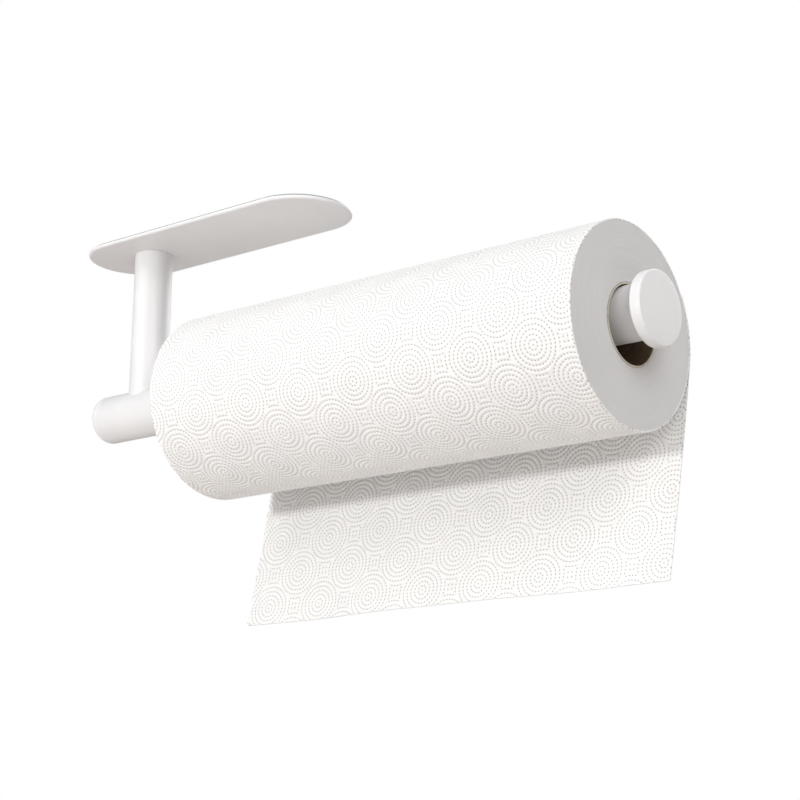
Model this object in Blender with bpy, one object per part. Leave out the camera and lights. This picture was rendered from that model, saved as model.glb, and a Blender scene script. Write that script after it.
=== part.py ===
"""Under-cabinet paper towel holder with a part-used towel roll on its arm.

Frame: metres, +Z up, +X along the arm towards its free end, +Y to the back, where the
loose sheet hangs. The origin is the middle of the adhesive pad's upper face, the face
that sticks to the underside of a cabinet.
"""

import math

import bmesh
import bpy

# ---------------------------------------------------------------- driving dimensions
GAP = 0.0003                 # clearance between faces that touch
CLEAR = 0.0004               # radial clearance round the bolt and its head

PLATE_LENGTH = 0.190
PLATE_WIDTH = 0.060
PLATE_THICKNESS = 0.002
PLATE_EDGE_RADIUS = 0.0012   # rounding of the lower rim
PAD_THICKNESS = 0.001
PAD_INSET = 0.0015           # pad edge in from the plate edge

POST_FROM_PLATE_END = 0.043  # post axis in from the plate's near end
POST_RADIUS = 0.0112
POST_WALL = 0.0015
PLATE_TO_ARM = 0.097         # plate underside down to the arm axis

ARM_RADIUS = 0.014
ARM_WALL = 0.0015
ARM_STUB = 0.035             # post axis to the closed end
END_PLAY = 0.0105            # free arm between the roll and the stop disc
CAP_LENGTH = 0.007           # the part of the cap outside the tube
CAP_EDGE_RADIUS = 0.005
CAP_WALL = 0.0025
CAP_FLOOR = 0.005            # solid end of the cap
CAP_SPIGOT_LENGTH = 0.0084   # the part of the cap inside the tube

DISC_RADIUS = 0.019
DISC_THICKNESS = 0.0062
DISC_EDGE_RADIUS = 0.0008

BOLT_RADIUS = 0.0025
BOLT_TIP_MARGIN = 0.0009     # bolt tip short of the anchor's underside
BOLT_HEAD_RADIUS = 0.0048
BOLT_SOCKET_RADIUS = 0.0018
BOLT_SOCKET_DEPTH = 0.0016
DOWEL_RADIUS = 0.001
DOWEL_LENGTH = 0.008
PLUG_LENGTH = 0.014          # how far a plug fills its tube
HEAD_CUT_DEPTH = 0.028       # bolt clearance below the post's top
SADDLE_CUT_SPARE = 1.5       # saddle cutter's half length in post radii
ANCHOR_LENGTH = 0.024
STUD_LENGTH = 0.015
STUD_IN_DISC = 0.0037

ROLL_LENGTH = 0.280
ROLL_RADIUS = 0.0523
CORE_BORE_RADIUS = 0.020
CORE_WALL = 0.001
ROLL_FROM_POST = 0.058       # post axis to the roll's near end

SHEET_DROP = 0.114           # loose sheet below the line where it leaves the roll
SHEET_THICKNESS = 0.0008
SHEET_LEAN = math.radians(9.4)
SHEET_CURL = 0.0036          # extra inward bend at the loose edge

ROUND_SEGMENTS = 48
ROLL_SEGMENTS = 96
SMALL_SEGMENTS = 16
FILLET_STEPS = 4
SHEET_STEPS = 10

# ---------------------------------------------------------------- places that follow
PLATE_TOP = -PAD_THICKNESS - GAP
PLATE_BOTTOM = PLATE_TOP - PLATE_THICKNESS
POST_TOP = PLATE_BOTTOM - GAP
POST_X = -PLATE_LENGTH / 2 + POST_FROM_PLATE_END
ARM_Z = PLATE_BOTTOM - PLATE_TO_ARM
SADDLE_RADIUS = ARM_RADIUS + GAP
SADDLE_TOP = ARM_Z + SADDLE_RADIUS + PLUG_LENGTH
POST_PLUG_RADIUS = POST_RADIUS - POST_WALL - GAP
ARM_BORE_RADIUS = ARM_RADIUS - ARM_WALL
ARM_PLUG_RADIUS = ARM_BORE_RADIUS - GAP
ARM_CLOSED_END_X = POST_X - ARM_STUB
ARM_TUBE_START_X = ARM_CLOSED_END_X + CAP_LENGTH + GAP
DISC_BACK_X = POST_X + ROLL_FROM_POST + ROLL_LENGTH + END_PLAY
ARM_TUBE_END_X = DISC_BACK_X - GAP
BOLT_TOP = PLATE_TOP - GAP
BOLT_TIP = ARM_Z - ARM_PLUG_RADIUS + BOLT_TIP_MARGIN
BOLT_HEAD_HEIGHT = BOLT_HEAD_RADIUS - BOLT_RADIUS
BOLT_HOLE_RADIUS = BOLT_RADIUS + CLEAR
HEAD_SEAT_RADIUS = BOLT_HEAD_RADIUS + GAP + CLEAR
DOWEL_HOLE_RADIUS = DOWEL_RADIUS + GAP
PLATE_DOWEL_OFFSET = (HEAD_SEAT_RADIUS + POST_PLUG_RADIUS) / 2
ARM_DOWEL_OFFSET = (BOLT_HOLE_RADIUS + POST_PLUG_RADIUS) / 2
ROLL_START_X = POST_X + ROLL_FROM_POST
ROLL_Z = ARM_Z + ARM_RADIUS + GAP - CORE_BORE_RADIUS
CORE_RADIUS = CORE_BORE_RADIUS + CORE_WALL
PAPER_BORE_RADIUS = CORE_RADIUS + GAP


# ---------------------------------------------------------------- making helpers
def clear_scene():
    for obj in list(bpy.data.objects):
        bpy.data.objects.remove(obj, do_unlink=True)


def material(name, colour, roughness, metallic=0.0):
    made = bpy.data.materials.new(name)
    made.use_nodes = True
    shader = made.node_tree.nodes["Principled BSDF"]
    shader.inputs["Base Color"].default_value = (*colour, 1.0)
    shader.inputs["Roughness"].default_value = roughness
    shader.inputs["Metallic"].default_value = metallic
    return made


def make_object(name, bm, finish, location=(0, 0, 0), lay_along_x=False, smooth=True):
    """Turn a bmesh into a named object; a turned piece's own axis is its local Z."""
    bmesh.ops.recalc_face_normals(bm, faces=bm.faces)
    mesh = bpy.data.meshes.new(name)
    bm.to_mesh(mesh)
    bm.free()
    if smooth:
        mesh.shade_smooth()
        mesh.set_sharp_from_angle(angle=math.radians(35))
    obj = bpy.data.objects.new(name, mesh)
    bpy.context.collection.objects.link(obj)
    obj.location = location
    if lay_along_x:
        obj.rotation_euler = (0, math.pi / 2, 0)
    if finish:
        mesh.materials.append(finish)
    return obj


def spun(profile, segments, closed):
    """Spin (radius, height) points round Z; a closed profile makes a ring."""
    bm = bmesh.new()
    verts = [bm.verts.new((radius, 0, height)) for radius, height in profile]
    edges = [bm.edges.new(pair) for pair in zip(verts, verts[1:])]
    if closed:
        edges.append(bm.edges.new((verts[-1], verts[0])))
    bmesh.ops.spin(bm, geom=verts + edges, cent=(0, 0, 0), axis=(0, 0, 1),
                   angle=2 * math.pi, steps=segments)
    bmesh.ops.remove_doubles(bm, verts=bm.verts, dist=1e-6)
    return bm


def rod(radius, low, high):
    return [(0, low), (radius, low), (radius, high), (0, high)]


def tube(inner, outer, low, high):
    return [(inner, low), (outer, low), (outer, high), (inner, high)]


def fillet(radius, corner_radius, corner_height, turn):
    """Quarter round at an outer corner; turn is +1 at an upper corner, -1 at a lower."""
    points = []
    for step in range(FILLET_STEPS + 1):
        angle = math.pi / 2 * step / FILLET_STEPS
        points.append((corner_radius - radius + radius * math.cos(angle),
                       corner_height - turn * radius + turn * radius * math.sin(angle)))
    return points if turn > 0 else points[::-1]


def obround(length, width, inset):
    """Outline points of a bar with half-round ends, drawn in by inset."""
    radius = width / 2 - inset
    middle = length / 2 - width / 2
    half = ROUND_SEGMENTS // 2
    points = []
    for side, start in ((1, -math.pi / 2), (-1, math.pi / 2)):
        for step in range(half + 1):
            angle = start + math.pi * step / half
            points.append((side * middle + radius * math.cos(angle),
                           radius * math.sin(angle)))
    return points


def stacked_slab(length, width, levels):
    """Closed slab through (inset, height) levels, listed from the top down."""
    bm = bmesh.new()
    loops = []
    for inset, height in levels:
        outline = obround(length, width, inset)
        loops.append([bm.verts.new((x, y, height)) for x, y in outline])
    for upper, lower in zip(loops, loops[1:]):
        for i in range(len(upper)):
            j = (i + 1) % len(upper)
            bm.faces.new((upper[i], upper[j], lower[j], lower[i]))
    bm.faces.new(loops[0])
    bm.faces.new(loops[-1])
    return bm


def cut(target, cutter):
    """Subtract a hidden cutter from a piece."""
    cutter.hide_render = True
    cutter.display_type = 'WIRE'
    modifier = target.modifiers.new("cut_" + cutter.name, 'BOOLEAN')
    modifier.operation = 'DIFFERENCE'
    modifier.solver = 'EXACT'
    modifier.object = cutter


def hole_cutter(name, radius, x, y, low, high):
    bm = spun(rod(radius, low, high), SMALL_SEGMENTS, False)
    return make_object(name, bm, None, (x, y, 0))


def plate_dowel_places():
    return [(POST_X, side * PLATE_DOWEL_OFFSET) for side in (-1, 1)]


def arm_dowel_places():
    return [(POST_X + side * ARM_DOWEL_OFFSET, 0) for side in (-1, 1)]


# ---------------------------------------------------------------- cutters
def head_cutter():
    """Clearance for the countersunk head and the shank below it."""
    below_plug = POST_TOP - HEAD_CUT_DEPTH
    profile = [(0, below_plug),
               (BOLT_HOLE_RADIUS, below_plug),
               (BOLT_HOLE_RADIUS, BOLT_TOP - BOLT_HEAD_HEIGHT),
               (HEAD_SEAT_RADIUS, PLATE_TOP),
               (HEAD_SEAT_RADIUS, PLATE_TOP + GAP),
               (0, PLATE_TOP + GAP)]
    return make_object("head_cutter", spun(profile, SMALL_SEGMENTS * 2, False), None,
                       (POST_X, 0, 0))


def saddle_cutter():
    reach = POST_RADIUS * SADDLE_CUT_SPARE
    return make_object("saddle_cutter",
                       spun(rod(SADDLE_RADIUS, -reach, reach), ROUND_SEGMENTS * 2, False),
                       None, (POST_X, 0, ARM_Z), lay_along_x=True)


# ---------------------------------------------------------------- plate and pad
def adhesive_pad(finish):
    inset = PAD_INSET
    levels = [(inset, 0), (inset, -PAD_THICKNESS)]
    bm = stacked_slab(PLATE_LENGTH, PLATE_WIDTH, levels)
    return make_object("adhesive_pad", bm, finish)


def mounting_plate(finish):
    levels = [(0, PLATE_TOP)]
    for step in range(FILLET_STEPS + 1):
        angle = math.pi / 2 * step / FILLET_STEPS
        levels.append((PLATE_EDGE_RADIUS * (1 - math.cos(angle)),
                       PLATE_BOTTOM + PLATE_EDGE_RADIUS * (1 - math.sin(angle))))
    bm = stacked_slab(PLATE_LENGTH, PLATE_WIDTH, levels)
    return make_object("mounting_plate", bm, finish)


# ---------------------------------------------------------------- post and its plugs
def post_tube(finish):
    profile = tube(POST_RADIUS - POST_WALL, POST_RADIUS, ARM_Z, POST_TOP)
    return make_object("post_tube", spun(profile, ROUND_SEGMENTS, True), finish,
                       (POST_X, 0, 0))


def post_top_plug(finish):
    profile = rod(POST_PLUG_RADIUS, POST_TOP - PLUG_LENGTH, POST_TOP)
    return make_object("post_top_plug", spun(profile, ROUND_SEGMENTS, False), finish,
                       (POST_X, 0, 0))


def post_saddle_plug(finish):
    profile = rod(POST_PLUG_RADIUS, ARM_Z, SADDLE_TOP)
    return make_object("post_saddle_plug", spun(profile, ROUND_SEGMENTS, False), finish,
                       (POST_X, 0, 0))


def tie_bolt(finish):
    """Countersunk bolt that clamps plate, post and arm together; hexagon socket."""
    profile = [(0, BOLT_TIP),
               (BOLT_RADIUS, BOLT_TIP),
               (BOLT_RADIUS, BOLT_TOP - BOLT_HEAD_HEIGHT),
               (BOLT_HEAD_RADIUS, BOLT_TOP),
               (0, BOLT_TOP)]
    bolt = make_object("tie_bolt", spun(profile, SMALL_SEGMENTS * 2, False), finish,
                       (POST_X, 0, 0))
    socket = rod(BOLT_SOCKET_RADIUS, BOLT_TOP - BOLT_SOCKET_DEPTH, BOLT_TOP + GAP)
    cut(bolt, make_object("socket_cutter", spun(socket, 6, False), None,
                          (POST_X, 0, 0), smooth=False))
    return bolt


def dowel(name, place, top, finish):
    profile = rod(DOWEL_RADIUS, top - DOWEL_LENGTH, top)
    return make_object(name, spun(profile, SMALL_SEGMENTS, False), finish, (*place, 0))


# ---------------------------------------------------------------- arm and its ends
def arm_tube(finish):
    profile = tube(ARM_BORE_RADIUS, ARM_RADIUS, ARM_TUBE_START_X, ARM_TUBE_END_X)
    return make_object("arm_tube", spun(profile, ROUND_SEGMENTS, True), finish,
                       (0, 0, ARM_Z), lay_along_x=True)


def arm_anchor(finish):
    profile = rod(ARM_PLUG_RADIUS, -ANCHOR_LENGTH / 2, ANCHOR_LENGTH / 2)
    return make_object("arm_anchor", spun(profile, ROUND_SEGMENTS, False), finish,
                       (POST_X, 0, ARM_Z), lay_along_x=True)


def arm_end_cap(finish):
    """Rounded cup-shaped plug that closes the stub behind the post."""
    seat = CAP_LENGTH
    tip = seat + CAP_SPIGOT_LENGTH
    hollow = ARM_PLUG_RADIUS - CAP_WALL
    rounding = fillet(CAP_EDGE_RADIUS, ARM_RADIUS, 0, -1)
    profile = [(0, 0), *rounding, (ARM_RADIUS, seat), (ARM_PLUG_RADIUS, seat),
               (ARM_PLUG_RADIUS, tip), (hollow, tip), (hollow, CAP_FLOOR),
               (0, CAP_FLOOR)]
    return make_object("arm_end_cap", spun(profile, ROUND_SEGMENTS, False), finish,
                       (ARM_CLOSED_END_X, 0, ARM_Z), lay_along_x=True)


def arm_end_plug(finish):
    profile = tube(BOLT_RADIUS + GAP, ARM_PLUG_RADIUS, -PLUG_LENGTH, 0)
    return make_object("arm_end_plug", spun(profile, ROUND_SEGMENTS, True), finish,
                       (ARM_TUBE_END_X, 0, ARM_Z), lay_along_x=True)


def disc_stud(finish):
    profile = rod(BOLT_RADIUS, STUD_IN_DISC - STUD_LENGTH, STUD_IN_DISC)
    return make_object("disc_stud", spun(profile, SMALL_SEGMENTS, False), finish,
                       (DISC_BACK_X, 0, ARM_Z), lay_along_x=True)


def stop_disc(finish):
    """Round stop at the free end, with a blind hole for its stud."""
    hole = BOLT_RADIUS + GAP
    depth = STUD_IN_DISC + GAP
    front = fillet(DISC_EDGE_RADIUS, DISC_RADIUS, DISC_THICKNESS, 1)
    back = fillet(DISC_EDGE_RADIUS, DISC_RADIUS, 0, -1)
    profile = [(0, depth), (hole, depth), (hole, 0), *back, *front, (0, DISC_THICKNESS)]
    return make_object("stop_disc", spun(profile, ROUND_SEGMENTS, False), finish,
                       (DISC_BACK_X, 0, ARM_Z), lay_along_x=True)


# ---------------------------------------------------------------- towel roll
def empty(name, location, parent=None):
    obj = bpy.data.objects.new(name, None)
    bpy.context.collection.objects.link(obj)
    obj.location = location
    obj.parent = parent
    return obj


def roll_piece(name, inner, outer, axis, finish):
    """A ring of the roll, centred on the spin axis and carried by its empty."""
    profile = tube(inner, outer, 0, ROLL_LENGTH)
    obj = make_object(name, spun(profile, ROLL_SEGMENTS, True), finish, (0, 0, 0),
                      lay_along_x=True)
    obj.parent = axis
    return obj


def hanging_sheet(slide, finish):
    """Loose sheet: leaves the back of the roll on a tangent and curls in a little."""
    start_radius = ROLL_RADIUS + GAP
    along = (-math.sin(SHEET_LEAN), -math.cos(SHEET_LEAN))
    outward = (math.cos(SHEET_LEAN), -math.sin(SHEET_LEAN))
    inner_side = []
    outer_side = []
    for step in range(SHEET_STEPS + 1):
        share = step / SHEET_STEPS
        run = SHEET_DROP * share
        bend = SHEET_CURL * share * share
        for offset, side in ((0, inner_side), (SHEET_THICKNESS, outer_side)):
            out = start_radius + offset - bend
            side.append((out * outward[0] + run * along[0],
                         out * outward[1] + run * along[1]))
    outline = inner_side + outer_side[::-1]
    bm = bmesh.new()
    near = [bm.verts.new((0, y, z)) for y, z in outline]
    face = bm.faces.new(near)
    grown = bmesh.ops.extrude_face_region(bm, geom=[face])
    moved = [item for item in grown["geom"] if isinstance(item, bmesh.types.BMVert)]
    bmesh.ops.translate(bm, verts=moved, vec=(ROLL_LENGTH, 0, 0))
    obj = make_object("hanging_sheet", bm, finish, (ROLL_START_X, 0, ROLL_Z - ARM_Z))
    obj.parent = slide
    return obj


# ---------------------------------------------------------------- assembly
def build_holder(enamel, steel, alloy, plastic, foam):
    adhesive_pad(foam)
    plate = mounting_plate(enamel)
    post = post_tube(enamel)
    top_plug = post_top_plug(alloy)
    saddle = post_saddle_plug(alloy)
    tie_bolt(steel)
    arm = arm_tube(enamel)
    anchor = arm_anchor(alloy)
    arm_end_cap(plastic)
    arm_end_plug(alloy)
    disc_stud(steel)
    stop_disc(enamel)

    head = head_cutter()
    cut(plate, head)
    cut(top_plug, head)
    bolt_hole = hole_cutter("bolt_hole_cutter", BOLT_HOLE_RADIUS, POST_X, 0, ARM_Z,
                            SADDLE_TOP + GAP)
    cut(saddle, bolt_hole)
    cut(arm, bolt_hole)
    cut(anchor, hole_cutter("anchor_cutter", BOLT_HOLE_RADIUS, POST_X, 0,
                            ARM_Z - ARM_RADIUS, ARM_Z + ARM_RADIUS))
    coping = saddle_cutter()
    cut(post, coping)
    cut(saddle, coping)

    for number, place in enumerate(plate_dowel_places(), start=1):
        top = BOLT_TOP
        dowel(f"plate_dowel_{number}", place, top, steel)
        hole = hole_cutter(f"plate_dowel_cutter_{number}", DOWEL_HOLE_RADIUS, *place,
                           top - DOWEL_LENGTH - GAP, PLATE_TOP + GAP)
        cut(plate, hole)
        cut(top_plug, hole)
    for number, place in enumerate(arm_dowel_places(), start=1):
        top = ARM_Z + ARM_RADIUS + DOWEL_LENGTH / 2
        dowel(f"arm_dowel_{number}", place, top, steel)
        hole = hole_cutter(f"arm_dowel_cutter_{number}", DOWEL_HOLE_RADIUS, *place,
                           top - DOWEL_LENGTH - GAP, top + GAP)
        cut(saddle, hole)
        cut(arm, hole)
        cut(anchor, hole)


def build_roll(card, paper):
    slide = empty("roll_slide", (0, 0, ARM_Z))
    axis = empty("roll_axis", (ROLL_START_X, 0, ROLL_Z - ARM_Z), slide)
    roll_piece("cardboard_core", CORE_BORE_RADIUS, CORE_RADIUS, axis, card)
    roll_piece("paper_roll", PAPER_BORE_RADIUS, ROLL_RADIUS, axis, paper)
    hanging_sheet(slide, paper)


def main():
    clear_scene()
    enamel = material("white_enamel", (0.80, 0.80, 0.81), 0.35)
    steel = material("zinc_plated_steel", (0.55, 0.55, 0.56), 0.35, 1.0)
    alloy = material("turned_alloy", (0.66, 0.66, 0.67), 0.40, 1.0)
    plastic = material("white_moulding", (0.80, 0.80, 0.81), 0.40)
    foam = material("foam_tape", (0.42, 0.42, 0.42), 0.90)
    card = material("brown_card", (0.30, 0.22, 0.14), 0.90)
    paper = material("towel_paper", (0.86, 0.85, 0.83), 0.95)
    build_holder(enamel, steel, alloy, plastic, foam)
    build_roll(card, paper)


main()
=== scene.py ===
"""Looks of an under-cabinet paper towel holder with a part-used towel roll.

Frame: metres, +Z up, +X along the arm towards its free end, +Y to the back, where the
loose towel hangs. The origin is where the foam pad sticks to the cabinet.
"""
import math

import bmesh
import bpy
from bpy.props import FloatProperty, FloatVectorProperty, IntProperty, PointerProperty
from bpy.types import Operator, Panel, PropertyGroup
from mathutils import Matrix, Vector, noise
from mathutils.geometry import delaunay_2d_cdt


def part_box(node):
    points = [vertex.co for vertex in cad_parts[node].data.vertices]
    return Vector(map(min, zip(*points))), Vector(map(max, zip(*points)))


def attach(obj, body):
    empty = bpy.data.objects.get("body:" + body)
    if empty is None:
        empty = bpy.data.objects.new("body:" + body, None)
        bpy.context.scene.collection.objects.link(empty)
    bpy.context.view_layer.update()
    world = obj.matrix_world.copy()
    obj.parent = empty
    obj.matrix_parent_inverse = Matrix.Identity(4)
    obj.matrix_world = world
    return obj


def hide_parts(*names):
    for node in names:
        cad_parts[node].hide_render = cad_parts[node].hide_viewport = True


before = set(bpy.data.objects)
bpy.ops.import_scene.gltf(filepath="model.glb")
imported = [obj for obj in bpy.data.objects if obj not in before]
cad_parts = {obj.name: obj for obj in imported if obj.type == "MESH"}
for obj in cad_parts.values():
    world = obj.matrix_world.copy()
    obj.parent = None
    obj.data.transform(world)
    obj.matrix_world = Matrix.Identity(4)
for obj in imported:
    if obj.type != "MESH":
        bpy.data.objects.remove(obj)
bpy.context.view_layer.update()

bl_info = {
    "name": "Paper towel holder",
    "version": (1, 0, 0),
    "blender": (4, 5, 0),
    "location": "3D View > Sidebar > Towel Holder",
    "description": "Builds the holder's enamelled pieces, the embossed roll and the loose towel",
    "category": "Add Mesh",
}

# ------------------------------------------------------------ places read from the frame
PLATE_LOW, PLATE_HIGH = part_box("mounting_plate")
PAD_LOW, PAD_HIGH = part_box("adhesive_pad")
POST_LOW, POST_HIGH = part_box("post_tube")
ARM_LOW, ARM_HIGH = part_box("arm_tube")
CAP_LOW, CAP_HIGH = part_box("arm_end_cap")
DISC_LOW, DISC_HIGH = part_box("stop_disc")
CORE_LOW, CORE_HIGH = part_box("cardboard_core")
ROLL_LOW, ROLL_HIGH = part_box("paper_roll")
BOLT_LOW, BOLT_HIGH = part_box("tie_bolt")
DOWEL_LOW, DOWEL_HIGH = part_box("plate_dowel_1")

POST_X = (POST_LOW.x + POST_HIGH.x) / 2
POST_RADIUS = (POST_HIGH.x - POST_LOW.x) / 2
ARM_Z = (ARM_LOW.z + ARM_HIGH.z) / 2
ARM_RADIUS = (ARM_HIGH.z - ARM_LOW.z) / 2
DISC_RADIUS = (DISC_HIGH.z - DISC_LOW.z) / 2
ROLL_Z = (ROLL_LOW.z + ROLL_HIGH.z) / 2
ROLL_RADIUS = (ROLL_HIGH.z - ROLL_LOW.z) / 2
ROLL_LENGTH = ROLL_HIGH.x - ROLL_LOW.x
ROLL_ENDS = ((-1, ROLL_LOW.x), (1, ROLL_HIGH.x))
CORE_RADIUS = (CORE_HIGH.z - CORE_LOW.z) / 2
BOLT_HEAD_RADIUS = (BOLT_HIGH.x - BOLT_LOW.x) / 2
DOWEL_RADIUS = (DOWEL_HIGH.x - DOWEL_LOW.x) / 2
DOWEL_Y = abs(DOWEL_LOW.y + DOWEL_HIGH.y) / 2

# ------------------------------------------------------------ fixed values
GAP = 0.0003                # what the frame leaves between faces that touch
CONTACT = 0.00004           # what is left of that gap where two finished pieces meet
SHANK_HOLE_RADIUS = 0.0029
FULL_TURN = 2 * math.pi
SAME_POINT = 1e-6           # metres between points that count as one
SAME_EDGE = 1e-7
SAME_PLACE = 1e-9
JOIN_DISTANCE = 0.00002     # between the border points of neighbouring cells
CORE_SEGMENTS = 144         # round the core, the wound turns and the outer turn's inside
CUTTER_SEGMENTS = 48
HOLE_SEGMENTS = 24
BEYOND_ENDS = 0.04          # how far a carrier runs past the roll's ends
DOT_SNAP = 0.85             # dot radii from a cell's border within which a dot moves onto it
DOT_CLEAR = 1.5             # dot radii that other dots keep from that border
DOT_APART = 2.2             # dot radii between one medallion's dots and the next one's rings
BORDER_STEPS = 6            # parts of a cell's border
BORDER_CLEAR = 1.6          # dot radii from a border place to a dot on that border
HARD_EDGE = 40              # degrees between faces past which an edge is sharp
TOWEL_EDGE = 75
WHITE = (1, 1, 1, 1)
DUST = (0.70, 0.69, 0.67, 1.0)


# ------------------------------------------------------------ settings
def length_setting(name, description, default, smallest=0.0002):
    return FloatProperty(name=name, description=description, default=default,
                         min=smallest, unit='LENGTH')


def angle_setting(name, description, default):
    return FloatProperty(name=name, description=description, default=default, subtype='ANGLE')


def power_setting(name, description, default):
    return FloatProperty(name=name, description=description, default=default,
                         min=0, unit='POWER')


def count_setting(name, description, default, lowest, highest):
    return IntProperty(name=name, description=description, default=default,
                       min=lowest, max=highest)


def colour_setting(name, description, default):
    return FloatVectorProperty(name=name, description=description, default=default,
                               subtype='COLOR', size=3, min=0, max=1)


class HolderSizes(PropertyGroup):
    plate_rounding: length_setting("Plate Edge", "Rounding of the plate's lower rim", 0.0012)
    post_wall: length_setting("Post Wall", "Wall of the post tube", 0.0015)
    arm_wall: length_setting("Arm Wall", "Wall of the arm tube", 0.0015)
    cap_rounding: length_setting("Cap Edge", "Rounding of the closed end of the arm", 0.005)
    disc_rounding: length_setting("Disc Edge", "Rounding of the stop disc's edges", 0.0009)
    round_segments: count_setting("Segments", "Segments round each turned piece", 128, 24, 256)


class TowelSizes(PropertyGroup):
    rows_round: count_setting("Rows", "Rows of medallions round the roll", 17, 4, 40)
    half_pitch: length_setting(
        "Half Pitch", "Half the distance between medallions along the roll", 0.01867, 0.005)
    first_medallion: length_setting(
        "First Medallion", "Roll's near end to the first medallion", 0.0142, 0)
    ring_gap: length_setting(
        "Ring Gap", "Distance between the dotted rings of a medallion", 0.0025, 0.001)
    dot_gap: length_setting("Dot Gap", "Distance between dots along a ring", 0.0019, 0.001)
    dot_radius: length_setting("Dot Radius", "Radius of one embossed dot", 0.0005, 0.0001)
    dot_depth: length_setting("Dot Depth", "Depth of one embossed dot", 0.0004, 0)
    turn_thickness: length_setting(
        "Outer Turn", "Thickness of the roll's outermost turn", 0.0007)
    wound_turns: count_setting(
        "Wound Turns", "Turns of paper that show in the roll's end faces", 72, 10, 150)
    core_wall: length_setting("Core Wall", "Wall of the card core", 0.001)
    sheet_thickness: length_setting(
        "Towel Thickness", "Thickness of the loose towel between its dots", 0.0006)
    sheet_dot_depth: length_setting(
        "Towel Dot Depth", "Depth of one dot in each face of the loose towel", 0.00025, 0)
    sheet_drop: length_setting(
        "Loose Length", "Towel below the line where it leaves the roll", 0.114, 0.02)
    sheet_wrap: length_setting("Wrapped Length", "Towel that still lies on the roll", 0.036)
    sheet_lean: angle_setting(
        "Lean", "Lean of the loose towel under the roll", math.radians(9.4))
    sheet_curl: length_setting(
        "Curl", "Extra inward bend at the towel's loose edge", 0.0036, 0)
    sheet_wave: length_setting(
        "Wave", "Height of the slow waves in the loose towel", 0.0011, 0)


class FinishColours(PropertyGroup):
    enamel: colour_setting("Enamel", "Colour of the satin white coat", (0.84, 0.84, 0.845))
    moulding: colour_setting("Moulding", "Colour of the moulded end cap", (0.85, 0.848, 0.85))
    foam: colour_setting("Foam", "Colour of the foam tape", (0.42, 0.43, 0.44))
    steel: colour_setting("Steel", "Colour of the plated hardware", (0.55, 0.55, 0.56))
    alloy: colour_setting("Alloy", "Colour of the turned plugs", (0.66, 0.66, 0.67))
    card: colour_setting("Card", "Colour of the core's kraft board", (0.13, 0.09, 0.05))
    card_edge: colour_setting("Card Edge", "Colour of the core's cut edge", (0.66, 0.60, 0.50))
    paper: colour_setting("Paper", "Colour of the towel's faces", (0.93, 0.925, 0.915))
    # darker than the paper's faces: partly the cut edges' own tone, partly painted shade for the
    # shadows between the rough turns
    paper_edge: colour_setting(
        "Paper Edge", "Colour of the wound paper's cut edges", (0.68, 0.675, 0.672))


class StageSettings(PropertyGroup):
    camera_place: FloatVectorProperty(
        name="Camera", description="Place of the camera", subtype='TRANSLATION',
        size=3, default=(0.8004, -0.7910, -0.3839))
    camera_yaw: angle_setting("Yaw", "Turn of the camera from +Y towards -X", 0.6949)
    camera_pitch: angle_setting("Pitch", "Upward tilt of the camera", 0.2495)
    camera_roll: angle_setting("Roll", "Roll of the camera about its own axis", 0.0149)
    lens: FloatProperty(
        name="Lens", description="Focal length in millimetres", default=91.1, min=10)
    floor_drop: length_setting("Floor", "Depth of the floor below the cabinet face", 0.47, 0.25)
    floor_colour: colour_setting("Floor Colour", "Colour of the pale floor", (0.74, 0.69, 0.66))
    key_power: power_setting("Key Light", "Power of the small low light from the front", 13.5)
    left_power: power_setting("Left Box", "Power of the soft box at the front left", 11.5)
    right_power: power_setting("Right Box", "Power of the soft box at the right", 24.0)
    back_power: power_setting("Back Box", "Power of the soft box behind", 30.0)
    surround: FloatProperty(
        name="Surround", description="Strength of the light from all round",
        default=0.29, min=0)


# ------------------------------------------------------------ mesh helpers
def evenly(low, high, steps):
    return [low + (high - low) * step / steps for step in range(steps + 1)]


def round_angles(segments):
    return [FULL_TURN * step / segments for step in range(segments)]


def on_roll(x, radius, angle):
    """Point at a radius from the roll's axis; the angle runs up from the front."""
    return (x, -radius * math.cos(angle), ROLL_Z + radius * math.sin(angle))


def softened(corners, steps):
    """Closed outline through (x, y, rounding) corners, each rounded by an arc."""
    outline = []
    for number, (x, y, rounding) in enumerate(corners):
        corner = Vector((x, y))
        if rounding <= 0:
            outline.append(corner)
            continue
        back = (Vector(corners[number - 1][:2]) - corner).normalized()
        ahead = (Vector(corners[(number + 1) % len(corners)][:2]) - corner).normalized()
        half = back.angle(ahead) / 2
        centre = corner + (back + ahead).normalized() * (rounding / math.sin(half))
        start = (corner + back * (rounding / math.tan(half)) - centre).normalized()
        end = (corner + ahead * (rounding / math.tan(half)) - centre).normalized()
        for step in range(steps + 1):
            outline.append(centre + start.slerp(end, step / steps).normalized() * rounding)
    return outline


def along_x(x, z):
    """Matrix that lays a piece turned about its own Z along +X."""
    return Matrix.Translation((x, 0, z)) @ Matrix.Rotation(math.pi / 2, 4, 'Y')


def upright(x, y=0):
    return Matrix.Translation((x, y, 0))


def turned(outline, segments, place, on_axis=False):
    """Spin a (radius, height) outline round Z; on_axis leaves it open along the axis."""
    bm = bmesh.new()
    verts = [bm.verts.new((radius, 0, height)) for radius, height in outline]
    edges = [bm.edges.new(pair) for pair in zip(verts, verts[1:])]
    if not on_axis:
        edges.append(bm.edges.new((verts[-1], verts[0])))
    bmesh.ops.spin(bm, geom=verts + edges, cent=(0, 0, 0), axis=(0, 0, 1),
                   angle=FULL_TURN, steps=segments)
    bmesh.ops.remove_doubles(bm, verts=bm.verts, dist=SAME_POINT)
    bmesh.ops.recalc_face_normals(bm, faces=bm.faces)
    bm.transform(place)
    return bm


def put_back(bm, mesh, sharp_angle):
    """Write a bmesh to a mesh with smooth faces and sharp edges past an angle."""
    bm.to_mesh(mesh)
    bm.free()
    mesh.shade_smooth()
    mesh.set_sharp_from_angle(angle=math.radians(sharp_angle))


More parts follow.
